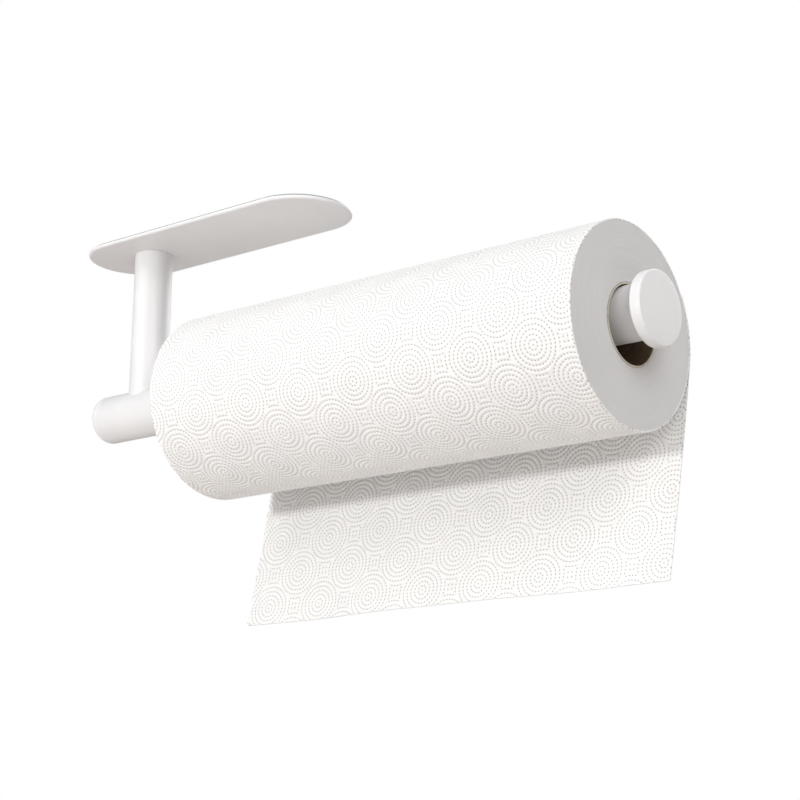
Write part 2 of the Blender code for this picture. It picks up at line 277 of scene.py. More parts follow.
def linked(name, mesh):
    obj = bpy.data.objects.new(name, mesh)
    bpy.context.scene.collection.objects.link(obj)
    return obj


def new_object(name, bm, sharp_angle=HARD_EDGE):
    mesh = bpy.data.meshes.new(name)
    put_back(bm, mesh, sharp_angle)
    return linked(name, mesh)


def turned_piece(name, corners, steps, segments, place, on_axis=False):
    return new_object(name, turned(softened(corners, steps), segments, place, on_axis))


def baked(obj):
    """Turn an object's evaluated mesh into its own plain mesh and drop its modifiers."""
    graph = bpy.context.evaluated_depsgraph_get()
    old = obj.data
    obj.data = bpy.data.meshes.new_from_object(obj.evaluated_get(graph), depsgraph=graph)
    obj.modifiers.clear()
    obj.data.name = obj.name
    bpy.data.meshes.remove(old)


def cut(obj, *cutters):
    """Subtract each cutter's bmesh from an object."""
    for number, bm in enumerate(cutters):
        cutter = new_object(f"{obj.name}_cutter_{number}", bm)
        modifier = obj.modifiers.new("cut", 'BOOLEAN')
        modifier.operation = 'DIFFERENCE'
        modifier.solver = 'EXACT'
        modifier.object = cutter
        baked(obj)
        bpy.data.objects.remove(cutter)
    obj.data.set_sharp_from_angle(angle=math.radians(HARD_EDGE))


def rod(radius, low, high, place, segments):
    outline = [(0, low), (radius, low), (radius, high), (0, high)]
    return turned(outline, segments, place, on_axis=True)


def obround(length, width, inset, half_steps):
    """Outline of a bar with half-round ends, drawn in by inset."""
    radius = width / 2 - inset
    middle = length / 2 - width / 2
    points = []
    for side, start in ((1, -math.pi / 2), (-1, math.pi / 2)):
        for angle in evenly(start, start + math.pi, half_steps):
            points.append((side * middle + radius * math.cos(angle), radius * math.sin(angle)))
    return points


def wall(bm, near, far):
    """Faces between two rings with the same number of vertices."""
    for i in range(len(near)):
        bm.faces.new((near[i - 1], near[i], far[i], far[i - 1]))


def bar(length, width, levels, half_steps=64):
    """Closed bar with half-round ends through (inset, height) levels, top level first."""
    bm = bmesh.new()
    loops = [[bm.verts.new((x, y, height)) for x, y in obround(length, width, inset, half_steps)]
             for inset, height in levels]
    for upper, lower in zip(loops, loops[1:]):
        wall(bm, upper, lower)
    bm.faces.new(loops[0])
    bm.faces.new(loops[-1])
    bmesh.ops.recalc_face_normals(bm, faces=bm.faces)
    return bm


def quarter_round(rounding, height, turn, steps):
    """(inset, height) levels of a rounded rim; turn is 1 for an upper rim, -1 for a lower."""
    levels = [(rounding * (1 - math.sin(angle)), height - turn * rounding * (1 - math.cos(angle)))
              for angle in evenly(0, math.pi / 2, steps)]
    return levels if turn > 0 else levels[::-1]


# ------------------------------------------------------------ shader helpers
class Nodes:
    """Short calls for adding and joining nodes in one tree."""

    def __init__(self, tree):
        self.tree = tree

    def add(self, kind, inputs=None, **settings):
        node = self.tree.nodes.new(kind)
        for name, value in settings.items():
            setattr(node, name, value)
        for name, value in (inputs or {}).items():
            self.feed(node.inputs[name], value)
        return node

    def feed(self, socket, value):
        if isinstance(value, bpy.types.NodeSocket):
            self.tree.links.new(value, socket)
        else:
            socket.default_value = value

    def math(self, operation, first, second=0.0, clamp=False):
        return self.add('ShaderNodeMath', {0: first, 1: second}, operation=operation,
                        use_clamp=clamp).outputs[0]

    def plus(self, first, second, clamp=False):
        return self.math('ADD', first, second, clamp)

    def minus(self, first, second):
        return self.math('SUBTRACT', first, second)

    def times(self, first, second, clamp=False):
        return self.math('MULTIPLY', first, second, clamp)

    def over(self, first, second):
        return self.math('DIVIDE', first, second)

    def vector(self, operation, first, second=(0, 0, 0), output="Vector"):
        node = self.add('ShaderNodeVectorMath', {0: first, 1: second}, operation=operation)
        return node.outputs[output]

    def length(self, vector):
        return self.vector('LENGTH', vector, output="Value")

    def split(self, vector):
        return self.add('ShaderNodeSeparateXYZ', {"Vector": vector}).outputs

    def join(self, x, y, z=0.0):
        return self.add('ShaderNodeCombineXYZ', {"X": x, "Y": y, "Z": z}).outputs["Vector"]

    def noise(self, vector, scale, detail, roughness):
        node = self.add('ShaderNodeTexNoise', {"Vector": vector, "Scale": scale,
                                               "Detail": detail, "Roughness": roughness})
        return node.outputs["Fac"]

    def mapped(self, vector, scale=(1, 1, 1), location=(0, 0, 0)):
        return self.add('ShaderNodeMapping', {"Vector": vector, "Location": location,
                                              "Scale": scale}).outputs[0]

    def ramp(self, value, low=0.0, high=1.0, out_low=0.0, out_high=1.0):
        """Smooth change from out_low to out_high while the value goes from low to high."""
        node = self.add('ShaderNodeMapRange', {"Value": value, "From Min": low, "From Max": high,
                                               "To Min": out_low, "To Max": out_high},
                        interpolation_type='SMOOTHSTEP')
        return node.outputs[0]

    def mix(self, share, first, second):
        node = self.add('ShaderNodeMix', data_type='RGBA', blend_type='MIX')
        for place, value in ((0, share), (6, first), (7, second)):
            self.feed(node.inputs[place], value)
        return node.outputs[2]

    def bump(self, height, strength, distance, before=None):
        node = self.add('ShaderNodeBump', {"Height": height, "Strength": strength,
                                           "Distance": distance})
        if before is not None:
            self.feed(node.inputs["Normal"], before)
        return node.outputs["Normal"]

    def group(self, tree, inputs):
        node = self.add('ShaderNodeGroup')
        node.node_tree = tree
        for name, value in inputs.items():
            self.feed(node.inputs[name], value)
        return node.outputs

    def grain(self, vector, grain_scale, mottle_scale):
        return self.group(grain_group(), {"Vector": vector, "Grain Scale": grain_scale,
                                          "Mottle Scale": mottle_scale})

    def fibre(self, vector, scale):
        return self.group(fibre_group(), {"Vector": vector, "Fibre Scale": scale})


def rgba(colour, share=1.0):
    return (*(part * share for part in colour), 1.0)


def tinted(colour, tint):
    return (*(part * share for part, share in zip(colour, tint)), 1.0)


def made_once(store, name):
    """Decorator: a node group or material is built when first asked for, then reused."""
    def wrap(build):
        def fetch():
            kept = getattr(bpy.data, store)
            return kept[name] if name in kept else build(name)
        return fetch
    return wrap


def new_group(name, inputs, outputs):
    """Shader node group; an input without a default is a vector, and outputs are floats."""
    tree = bpy.data.node_groups.new(name, 'ShaderNodeTree')
    for socket, default in inputs.items():
        kind = 'NodeSocketVector' if default is None else 'NodeSocketFloat'
        made = tree.interface.new_socket(socket, in_out='INPUT', socket_type=kind)
        if default is not None:
            made.default_value = default
    for socket in outputs:
        tree.interface.new_socket(socket, in_out='OUTPUT', socket_type='NodeSocketFloat')
    nodes = Nodes(tree)
    source = nodes.add('NodeGroupInput').outputs
    sink = nodes.add('NodeGroupOutput').inputs
    return tree, nodes, source, sink


@made_once("node_groups", "fine_grain")
def grain_group(name):
    """Fine grain and slow mottling, for coats, mouldings, foam, card and paper."""
    tree, nodes, source, sink = new_group(
        name, {"Vector": None, "Grain Scale": 900.0, "Mottle Scale": 35.0},
        ("Height", "Mottle"))
    nodes.feed(sink["Height"], nodes.noise(source["Vector"], source["Grain Scale"],
                                           detail=2.0, roughness=0.45))
    slow = nodes.noise(source["Vector"], source["Mottle Scale"], detail=4.0, roughness=0.55)
    nodes.feed(sink["Mottle"], nodes.ramp(slow, low=0.3, high=0.7))
    return tree


@made_once("node_groups", "settled_dust")
def dust_group(name):
    """Mask of fine dust that settles on faces that look up."""
    tree, nodes, source, sink = new_group(name, {"Vector": None, "Normal": None}, ("Mask",))
    facing_up = nodes.ramp(nodes.split(source["Normal"])["Z"], low=0.35, high=1.0)
    cloudy = nodes.noise(source["Vector"], scale=160.0, detail=5.0, roughness=0.65)
    patches = nodes.ramp(cloudy, low=0.35, high=0.75)
    nodes.feed(sink["Mask"], nodes.times(facing_up, patches))
    return tree


@made_once("node_groups", "paper_fibre")
def fibre_group(name):
    """Short crossing fibres and fine crepe lines, for paper and card."""
    tree, nodes, source, sink = new_group(
        name, {"Vector": None, "Fibre Scale": 1.0}, ("Height", "Fleck"))
    scale = source["Fibre Scale"]
    scaled = nodes.vector('MULTIPLY', source["Vector"], nodes.join(scale, scale, scale))
    ways = [nodes.noise(nodes.mapped(scaled, scale=stretch), scale=1.0, detail=2.0, roughness=0.6)
            for stretch in ((420, 1900, 1900), (1900, 520, 520))]
    crossing = nodes.math('MAXIMUM', *ways)
    nodes.feed(sink["Height"], crossing)
    nodes.feed(sink["Fleck"], nodes.ramp(crossing, low=0.5, high=0.8))
    return tree


@made_once("node_groups", "ring_quilting")
def quilting_group(name):
    """Raised rings between the dotted rings, from the towel's own flat coordinates."""
    tree, nodes, source, sink = new_group(
        name, {"Flat Place": None, "Half Pitch": 0.0187, "Row Height": 0.0193,
               "Ring Gap": 0.0025}, ("Height",))
    place = nodes.split(source["Flat Place"])
    across = nodes.over(place["X"], source["Half Pitch"])
    along = nodes.over(place["Y"], source["Row Height"])
    first = nodes.times(nodes.plus(across, along), 0.5)
    second = nodes.times(nodes.minus(across, along), 0.5)
    first = nodes.minus(first, nodes.math('ROUND', first))
    second = nodes.minus(second, nodes.math('ROUND', second))
    off_x = nodes.times(nodes.plus(first, second), source["Half Pitch"])
    off_y = nodes.times(nodes.minus(first, second), source["Row Height"])
    distance = nodes.length(nodes.join(off_x, off_y))
    turn = nodes.times(nodes.over(distance, source["Ring Gap"]), FULL_TURN)
    wave = nodes.times(nodes.math('COSINE', turn), -0.5)
    nodes.feed(sink["Height"], nodes.plus(wave, 0.5))
    return tree


@made_once("node_groups", "tool_marks")
def turning_group(name):
    """Fine tool marks round a turned or plated metal piece."""
    tree, nodes, source, sink = new_group(name, {"Vector": None}, ("Height", "Variation"))
    lines = nodes.mapped(source["Vector"], scale=(3200, 60, 60))
    nodes.feed(sink["Height"], nodes.noise(lines, scale=1.0, detail=3.0, roughness=0.7))
    nodes.feed(sink["Variation"], nodes.noise(source["Vector"], scale=220.0, detail=3.0,
                                              roughness=0.6))
    return tree


def new_finish(name, roughness, metallic=0.0, specular=0.5):
    """Material with its Nodes, its shader's inputs and its object coordinates."""
    made = bpy.data.materials.new(name)
    made.use_nodes = True
    nodes = Nodes(made.node_tree)
    shader = made.node_tree.nodes["Principled BSDF"].inputs
    shader["Roughness"].default_value = roughness
    shader["Metallic"].default_value = metallic
    shader["Specular IOR Level"].default_value = specular
    places = nodes.add('ShaderNodeTexCoord').outputs
    return made, nodes, shader, places


def colours():
    return bpy.context.scene.towel_holder_colours


def coat_finish(name, colour, grain_scale, grain_depth, roughness):
    """Satin white coat or moulding: fine grain, slow gloss changes and a little dust."""
    made, nodes, shader, places = new_finish(name, roughness, specular=0.45)
    grain = nodes.grain(places["Object"], grain_scale, mottle_scale=28.0)
    dust = nodes.group(dust_group(), {"Vector": places["Object"], "Normal": places["Normal"]})
    base = nodes.mix(grain["Mottle"], rgba(colour, 0.965), rgba(colour))
    nodes.feed(shader["Base Color"], nodes.mix(nodes.times(dust["Mask"], 0.25), base, DUST))
    gloss = nodes.ramp(grain["Mottle"], out_low=roughness - 0.05, out_high=roughness + 0.06)
    nodes.feed(shader["Roughness"], nodes.plus(gloss, nodes.times(dust["Mask"], 0.3), clamp=True))
    nodes.feed(shader["Normal"], nodes.bump(grain["Height"], strength=0.5, distance=grain_depth))
    return made


@made_once("materials", "satin_enamel")
def enamel_finish(name):
    return coat_finish(name, colours().enamel, grain_scale=1100.0, grain_depth=0.00004,
                       roughness=0.38)


@made_once("materials", "satin_moulding")
def moulding_finish(name):
    return coat_finish(name, colours().moulding, grain_scale=1700.0, grain_depth=0.00003,
                       roughness=0.42)


@made_once("materials", "foam_tape_cells")
def foam_finish(name):
    """Closed-cell foam tape: cells in relief with painted shade in their hollows, and a tacky
    sheen in patches.
    """
    colour = colours().foam
    made, nodes, shader, places = new_finish(name, roughness=0.7)
    grain = nodes.grain(places["Object"], grain_scale=2600.0, mottle_scale=60.0)
    cells = nodes.add('ShaderNodeTexVoronoi', {"Vector": places["Object"], "Scale": 1500.0})
    from_middle = cells.outputs["Distance"]
    # painted shade: each cell is darker towards its middle, where the bump sinks into a hollow
    nodes.feed(shader["Base Color"], nodes.mix(nodes.times(from_middle, 1.2, clamp=True),
                                               rgba(colour, 0.7), rgba(colour)))
    nodes.feed(shader["Roughness"], nodes.ramp(grain["Mottle"], out_low=0.45, out_high=0.85))
    fine = nodes.bump(grain["Height"], strength=0.3, distance=0.00003)
    nodes.feed(shader["Normal"], nodes.bump(from_middle, strength=0.6, distance=0.00012,
                                            before=fine))
    return made


def metal_finish(name, colour, roughness):
    """Turned alloy or plated steel with fine tool marks."""
    made, nodes, shader, places = new_finish(name, roughness, metallic=1.0)
    marks = nodes.group(turning_group(), {"Vector": places["Object"]})
    nodes.feed(shader["Base Color"], nodes.mix(marks["Variation"], rgba(colour, 0.8),
                                               rgba(colour)))
    nodes.feed(shader["Roughness"], nodes.ramp(
        marks["Variation"], low=0.2, high=0.8,
        out_low=roughness - 0.08, out_high=roughness + 0.1))
    nodes.feed(shader["Normal"], nodes.bump(marks["Height"], strength=0.25, distance=0.00004))
    return made


@made_once("materials", "wound_kraft_card")
def card_finish(name):
    """Kraft board wound on a slant, with its helical seam and loose fibres."""
    colour = colours().card
    strip_pitch = 0.085
    made, nodes, shader, places = new_finish(name, roughness=0.9)
    parts = nodes.split(nodes.mapped(places["Object"], location=(0, 0, -ROLL_Z)))
    angle = nodes.over(nodes.math('ARCTAN2', parts["Y"], parts["Z"]), FULL_TURN)
    winding = nodes.math('FRACT', nodes.plus(nodes.over(parts["X"], strip_pitch), angle))
    from_seam = nodes.math('ABSOLUTE', nodes.minus(winding, 0.5))
    seam = nodes.ramp(from_seam, high=0.008, out_low=1.0, out_high=0.0)
    fibre = nodes.fibre(places["Object"], scale=0.6)
    grain = nodes.grain(places["Object"], grain_scale=1400.0, mottle_scale=90.0)
    base = nodes.mix(nodes.times(fibre["Fleck"], 0.6), rgba(colour), rgba(colour, 1.6))
    base = nodes.mix(nodes.times(grain["Mottle"], 0.35), base, rgba(colour, 0.7))
    nodes.feed(shader["Base Color"], nodes.mix(nodes.times(seam, 0.7), base, rgba(colour, 0.35)))
    rough = nodes.bump(fibre["Height"], strength=0.5, distance=0.0001)
    nodes.feed(shader["Normal"], nodes.bump(seam, strength=0.8, distance=-0.0003, before=rough))
    return made


@made_once("materials", "cut_card_edge")
def card_edge_finish(name):
    """Cut edge of the core: pale plies with torn fibres."""
    colour = colours().card_edge
    made, nodes, shader, places = new_finish(name, roughness=0.9)
    fibre = nodes.fibre(places["Object"], scale=1.4)
    grain = nodes.grain(places["Object"], grain_scale=2500.0, mottle_scale=300.0)
    nodes.feed(shader["Base Color"], nodes.mix(grain["Mottle"], rgba(colour, 0.72),
                                               rgba(colour)))
    nodes.feed(shader["Normal"], nodes.bump(fibre["Height"], strength=0.6, distance=0.00015))
    return made


@made_once("materials", "embossed_towel")
def towel_finish(name):
    """Soft embossed towel: dots and creases with painted shade, quilted rings, crepe and fibres.
    """
    sizes = bpy.context.scene.towel_holder_towel
    colour = colours().paper
    # in_shade is the paper's colour in shade, painted into the dots and along the creases
    in_shade = tinted(colour, (0.26, 0.265, 0.27))
    made, nodes, shader, places = new_finish(name, roughness=0.95, specular=0.2)
    flat = nodes.add('ShaderNodeUVMap', uv_map="UVMap").outputs["UV"]
    dimple = nodes.add('ShaderNodeAttribute', attribute_name="dimple").outputs["Fac"]
    quilting = nodes.group(quilting_group(), {
        "Flat Place": flat, "Half Pitch": sizes.half_pitch, "Row Height": row_height(sizes),
        "Ring Gap": sizes.ring_gap})
    fibre = nodes.fibre(flat, scale=1.0)
    grain = nodes.grain(places["Object"], grain_scale=1300.0, mottle_scale=45.0)
    base = nodes.mix(grain["Mottle"], tinted(colour, (0.965, 0.97, 0.975)), rgba(colour))
    base = nodes.mix(nodes.times(fibre["Fleck"], 0.10), base, WHITE)
    # painted shade along the creases: the paper darkens towards the in_shade tint where the
    # quilted rings sink
    crease_shade = nodes.math('POWER', nodes.minus(1.0, quilting["Height"]), 2.0)
    base = nodes.mix(nodes.times(crease_shade, 0.11), base, in_shade)
    # painted shade: each dot darkens towards the in_shade tint at its pit, standing in for the
    # shade inside the dimple
    nodes.feed(shader["Base Color"], nodes.mix(nodes.math('POWER', dimple, 0.4), base, in_shade))
    nodes.feed(shader["Roughness"], nodes.ramp(grain["Mottle"], out_low=0.88, out_high=0.98))
    soft = nodes.bump(fibre["Height"], strength=0.35, distance=0.00006)
    nodes.feed(shader["Normal"], nodes.bump(quilting["Height"], strength=0.7, distance=0.00028,
                                            before=soft))
    shader["Sheen Weight"].default_value = 0.12
    shader["Sheen Roughness"].default_value = 0.5
    return made


@made_once("materials", "wound_paper_edges")
def cut_paper_finish(name):
    """Cut edges of the wound turns, seen in the roll's end faces."""
    # the edge colour is partly painted shade for the shadows between the rough turns
    colour = colours().paper_edge
    darker = rgba(colour, 0.94)
    rings_per_metre, drift_round = 2600.0, 1.4
    made, nodes, shader, places = new_finish(name, roughness=0.97, specular=0.15)
    parts = nodes.split(nodes.mapped(places["Object"], location=(0, 0, -ROLL_Z)))
    radius = nodes.length(nodes.join(0.0, parts["Y"], parts["Z"]))
    around = nodes.math('ARCTAN2', parts["Y"], parts["Z"])
    drift = [nodes.times(nodes.math(wave, around), drift_round) for wave in ('SINE', 'COSINE')]
    rings = nodes.noise(nodes.join(nodes.times(radius, rings_per_metre), *drift),
                        scale=1.0, detail=3.0, roughness=0.6)
    grain = nodes.grain(places["Object"], grain_scale=1900.0, mottle_scale=55.0)
    base = nodes.mix(nodes.ramp(rings, low=0.35, high=0.7), darker, rgba(colour))
    nodes.feed(shader["Base Color"], nodes.mix(nodes.times(grain["Mottle"], 0.25), base, darker))
    layered = nodes.bump(rings, strength=0.2, distance=0.0001)
    nodes.feed(shader["Normal"], nodes.bump(grain["Height"], strength=0.3, distance=0.00006,
                                            before=layered))
    return made


# ------------------------------------------------------------ embossed towel
def row_height(sizes):
    return FULL_TURN * ROLL_RADIUS / sizes.rows_round


def dot_places(sizes):
    """Dots of one cell, which holds half a medallion centred on its left border.

    The cell is half a pitch wide and one row high. Rings of the medallions round it run
    on until they meet the next medallion's rings. A dot near the upper or lower border is
    moved onto it or clear of it, so that neighbouring cells always match.
    """
    width, height = sizes.half_pitch, row_height(sizes)
    edge = height / 2
    snap = sizes.dot_radius * DOT_SNAP
    clear = sizes.dot_radius * DOT_CLEAR
    centres = [(0, 0), (2 * width, 0), (width, height), (width, -height)]
    dots = [(0.0, 0.0, 0.0)]
    for number, (cx, cy) in enumerate(centres):
        for ring in range(1, int(2 * width / sizes.ring_gap)):
            radius = ring * sizes.ring_gap
            quarter = round(FULL_TURN * radius / (4 * sizes.dot_gap))
            count = 4 * quarter
            for step in range(count):
                angle = (step + 0.5) * FULL_TURN / count
                x = cx + radius * math.cos(angle)
                y = cy + radius * math.sin(angle)
                others = min(math.hypot(x - ox, y - oy)
                             for other, (ox, oy) in enumerate(centres) if other != number)
                past = abs(y) - edge
                crowded = others - radius < DOT_APART * sizes.dot_radius
                if not 0 < x < width or past > snap or crowded:
                    continue
                if abs(past) <= snap:
                    y = math.copysign(edge, y)
                elif past > -clear:
                    y = math.copysign(edge - clear, y)
                dots.append((x, y, angle))
    spare = sizes.ring_gap / 2
    dots += [(width - spare, side * spare, 0.0) for side in (-1, 1)]
    return dots


def rim_angles(x, y, edge, ring_angle, sides):
    """Angles of a dot's rim points; a dot on the cell's border has only an inner half."""
    if x != 0 and abs(y) != edge:
        return [ring_angle + FULL_TURN * step / sides for step in range(sides)]
    inward = 0.0 if x == 0 else -math.copysign(math.pi / 2, y)
    return [inward + math.pi / 2 * side for side in (-1, 0, 1)]


def border_places(sizes, dots):
    """Flat places along a cell's border, which match the neighbouring cells' places."""
    width, edge = sizes.half_pitch, row_height(sizes) / 2
    on_border = [x for x, y, _ in dots if y == edge]
    places = []
    for x in evenly(0, width, BORDER_STEPS):
        if all(abs(x - dot) > sizes.dot_radius * BORDER_CLEAR for dot in on_border):
            places += [(x, edge), (x, -edge)]
    for step in range(1, BORDER_STEPS):
        y = edge * (2 * step / BORDER_STEPS - 1)
        places.append((width, y))
        if abs(y) > sizes.dot_radius * 2:
            places.append((0, y))
    return places


def cell_mesh(sizes, depth, sides=4):
    """Flat cell, centred, with a dimple at each dot and a float layer that marks them."""
    width, edge = sizes.half_pitch, row_height(sizes) / 2
    points, marks = [], []
    dots = dot_places(sizes)
    for x, y, ring_angle in dots:
        points.append((x, y))
        marks.append(1.0)
        for angle in rim_angles(x, y, edge, ring_angle, sides):
            rim_x = x + sizes.dot_radius * math.cos(angle)
            rim_y = y + sizes.dot_radius * math.sin(angle)
            on_edge = abs(abs(rim_y) - edge) < SAME_PLACE
            points.append((0.0 if abs(rim_x) < SAME_PLACE else rim_x,
                           math.copysign(edge, y) if on_edge else rim_y))
            marks.append(0.0)
    border = border_places(sizes, dots)
    points += border
    marks += [0.0] * len(border)
    flat = [Vector(point) for point in points]
    verts, _, faces, origins, _, _ = delaunay_2d_cdt(flat, [], [], 0, SAME_EDGE)
    bm = bmesh.new()
    dimple = bm.verts.layers.float.new("dimple")
    made = []
    for point, came_from in zip(verts, origins):
        mark = max(marks[i] for i in came_from) if came_from else 0.0
        vert = bm.verts.new((point.x - width / 2, point.y, -depth * mark))
        vert[dimple] = mark
        made.append(vert)
    for corners in faces:
        face = bm.faces.new([made[i] for i in corners])
        face.normal_update()
        if face.normal.z < 0:
            face.normal_flip()
    return bm


@made_once("node_groups", "emboss_over_carrier")
def emboss_tree(tree_name):
    """Geometry nodes that lay rows of cells flat and carry them onto a curved carrier."""
    tree = bpy.data.node_groups.new(tree_name, 'GeometryNodeTree')
    for name, kind in (("Cell", 'Object'), ("Carrier", 'Object'), ("Finish", 'Material'),
                       ("Columns", 'Int'), ("Rows", 'Int'), ("Cell Width", 'Float'),
                       ("Cell Height", 'Float'), ("Start Across", 'Float'),
                       ("Start Along", 'Float')):
        tree.interface.new_socket(name, in_out='INPUT', socket_type="NodeSocket" + kind)
    tree.interface.new_socket("Geometry", in_out='OUTPUT', socket_type='NodeSocketGeometry')
    nodes = Nodes(tree)
    source = nodes.add('NodeGroupInput').outputs

    def made(kind, inputs, **settings):
        return nodes.add("GeometryNode" + kind, inputs, **settings).outputs[0]

    def middle(start, number, size):
        return nodes.plus(source[start], nodes.times(nodes.plus(number, 0.5), source[size]))

    index = made("InputIndex", {})
    column = nodes.math('FLOORED_MODULO', index, source["Columns"])
    row = nodes.math('FLOOR', nodes.over(nodes.plus(index, 0.5), source["Columns"]))
    spots = made("Points", {
        "Count": nodes.times(source["Columns"], source["Rows"]),
        "Position": nodes.join(middle("Start Across", column, "Cell Width"),
                               middle("Start Along", row, "Cell Height"))})
    parity = nodes.math('FLOORED_MODULO', nodes.plus(column, row), 2.0)
    turn = nodes.add('FunctionNodeEulerToRotation', {
        "Euler": nodes.join(0.0, 0.0, nodes.times(parity, math.pi))}).outputs[0]
    cell = nodes.add('GeometryNodeObjectInfo', {"Object": source["Cell"]}).outputs["Geometry"]
    placed = made("InstanceOnPoints", {"Points": spots, "Instance": cell, "Rotation": turn})
    real = made("RealizeInstances", {"Geometry": placed})
    position = made("InputPosition", {})
    flat = nodes.split(position)
    flat_place = nodes.join(flat["X"], flat["Y"])
    medallion = nodes.join(source["Start Across"], middle("Start Along", 0.0, "Cell Height"))
    carrier = nodes.add('GeometryNodeObjectInfo', {"Object": source["Carrier"]})
    unwrapped, outward = (made("InputNamedAttribute", {"Name": name}, data_type='FLOAT_VECTOR')
                          for name in ("UVMap", "outward"))

    def sampled(value):
        return made("SampleUVSurface", {
            "Mesh": carrier.outputs["Geometry"], "Value": value, "UV Map": unwrapped,
            "Sample UV": flat_place}, data_type='FLOAT_VECTOR')

    mapped = made("StoreNamedAttribute", {
        "Geometry": real, "Name": "UVMap",
        "Value": nodes.vector('SUBTRACT', flat_place, medallion)},
        data_type='FLOAT2', domain='CORNER')
    pointed = made("StoreNamedAttribute", {
        "Geometry": mapped, "Name": "outward", "Value": sampled(outward)},
        data_type='FLOAT_VECTOR', domain='POINT')
    raised = nodes.add('ShaderNodeVectorMath', {0: sampled(outward)}, operation='SCALE')
    nodes.feed(raised.inputs["Scale"], flat["Z"])
    moved = made("SetPosition", {
        "Geometry": pointed,
        "Position": nodes.vector('ADD', sampled(position), raised.outputs[0])})
    joined = made("MergeByDistance", {"Geometry": moved, "Distance": JOIN_DISTANCE})
    finished = made("SetMaterial", {"Geometry": joined, "Material": source["Finish"]})
    nodes.add('NodeGroupOutput', {"Geometry": finished})
    return tree


def carrier_object(name, across, along, place):
    """Smooth carrier grid: place(u, v) gives a point; its UV map holds (u, v) in metres."""
    bm = bmesh.new()
    flat = bm.loops.layers.uv.new("UVMap")
    grid = [[bm.verts.new(place(u, v)) for v in along] for u in across]
    for i in range(len(across) - 1):
        for j in range(len(along) - 1):
            corners = ((i, j), (i + 1, j), (i + 1, j + 1), (i, j + 1))
            face = bm.faces.new([grid[a][b] for a, b in corners])
            for loop, (a, b) in zip(face.loops, corners):
                loop[flat].uv = (across[a], along[b])
    bm.normal_update()
    outward = bm.verts.layers.float_vector.new("outward")
    for vert in bm.verts:
        vert[outward] = vert.normal
    return new_object(name, bm)


def embossed(name, sizes, depth, carrier, rows, start_along):
    """Rows of cells laid over a carrier: a plain mesh object and its bmesh."""
    cell = new_object(name + "_cell", cell_mesh(sizes, depth), sharp_angle=180)
    obj = linked(name, bpy.data.meshes.new(name))
    modifier = obj.modifiers.new("emboss", 'NODES')
    modifier.node_group = emboss_tree()
    start_across = sizes.first_medallion - sizes.half_pitch
    columns = math.ceil((ROLL_LENGTH - start_across) / sizes.half_pitch)
    values = {"Cell": cell, "Carrier": carrier, "Finish": towel_finish(), "Columns": columns,
              "Rows": rows, "Cell Width": sizes.half_pitch, "Cell Height": row_height(sizes),
              "Start Across": start_across, "Start Along": start_along}
    for item in modifier.node_group.interface.items_tree:
        if item.in_out == 'INPUT':
            modifier[item.identifier] = values[item.name]
    baked(obj)
    for helper in (cell, carrier):
        bpy.data.objects.remove(helper)
    if len(obj.data.vertices) < columns * rows:
        raise RuntimeError(f"{name}: the embossed rows came out empty")
    bm = bmesh.new()
    bm.from_mesh(obj.data)
    return obj, bm


def trimmed(bm, *planes):
    """Cut away what lies beyond the roll's ends and beyond each (point, normal) plane."""
    ends = [((x, 0, 0), (side, 0, 0)) for side, x in ROLL_ENDS]
    for point, normal in (*ends, *planes):
        geometry = list(bm.verts) + list(bm.edges) + list(bm.faces)
        bmesh.ops.bisect_plane(bm, geom=geometry, dist=SAME_EDGE, plane_co=point,
                               plane_no=normal, clear_outer=True)


def roll_carrier(sizes, first_angle, steps=420):
    """Cylinder that overlaps itself a little at the seam; v runs up the front."""
    spare = row_height(sizes) / 4
    around = row_height(sizes) * sizes.rows_round

    def place(u, v):
        return on_roll(ROLL_LOW.x + u, ROLL_RADIUS, first_angle + v / ROLL_RADIUS)

    across = [-BEYOND_ENDS, ROLL_LENGTH + BEYOND_ENDS]
    return carrier_object("roll_carrier", across, evenly(-spare, around + spare, steps), place)


def close_ends(bm, inner_radius):
    """Give an open embossed cylinder its end edges and a smooth inner wall."""
    circles = []
    for side, x in ROLL_ENDS:
        outer = [edge for edge in bm.edges
                 if edge.is_boundary and all(abs(v.co.x - x) < SAME_POINT for v in edge.verts)]
        ring = [bm.verts.new(on_roll(x, inner_radius, angle))
                for angle in round_angles(CORE_SEGMENTS)]
        inner = [bm.edges.new((ring[i - 1], ring[i])) for i in range(len(ring))]
        filled = bmesh.ops.triangle_fill(bm, use_beauty=True, use_dissolve=False,
                                         edges=outer + inner, normal=(side, 0, 0))
        for face in filled["geom"]:
            if isinstance(face, bmesh.types.BMFace):
                face.normal_update()
                if face.normal.x * side < 0:
                    face.normal_flip()
        circles.append(ring)
    wall(bm, *circles)


def two_faced(bm, thickness, depth):
    """Close an embossed face into a towel whose other face has the same dots."""
    dimple = bm.verts.layers.float["dimple"]
    outward = bm.verts.layers.float_vector["outward"]
    flat = bm.loops.layers.uv["UVMap"]
    front = list(bm.verts)
    back = {}
    for vert in front:
        step = thickness - 2 * depth * vert[dimple]
        made = bm.verts.new(vert.co - Vector(vert[outward]) * step)
        made[dimple] = vert[dimple]
        made[outward] = -Vector(vert[outward])
        back[vert] = made
    for face in list(bm.faces):
        other = bm.faces.new([back[vert] for vert in reversed(face.verts)])
        for loop, twin in zip(other.loops, reversed(face.loops)):
            loop[flat].uv = twin[flat].uv
    rim = [loop for vert in front for loop in vert.link_loops if loop.edge.is_boundary]
    for loop in rim:
        ahead = loop.link_loop_next.vert
        bm.faces.new((ahead, loop.vert, back[loop.vert], back[ahead]))


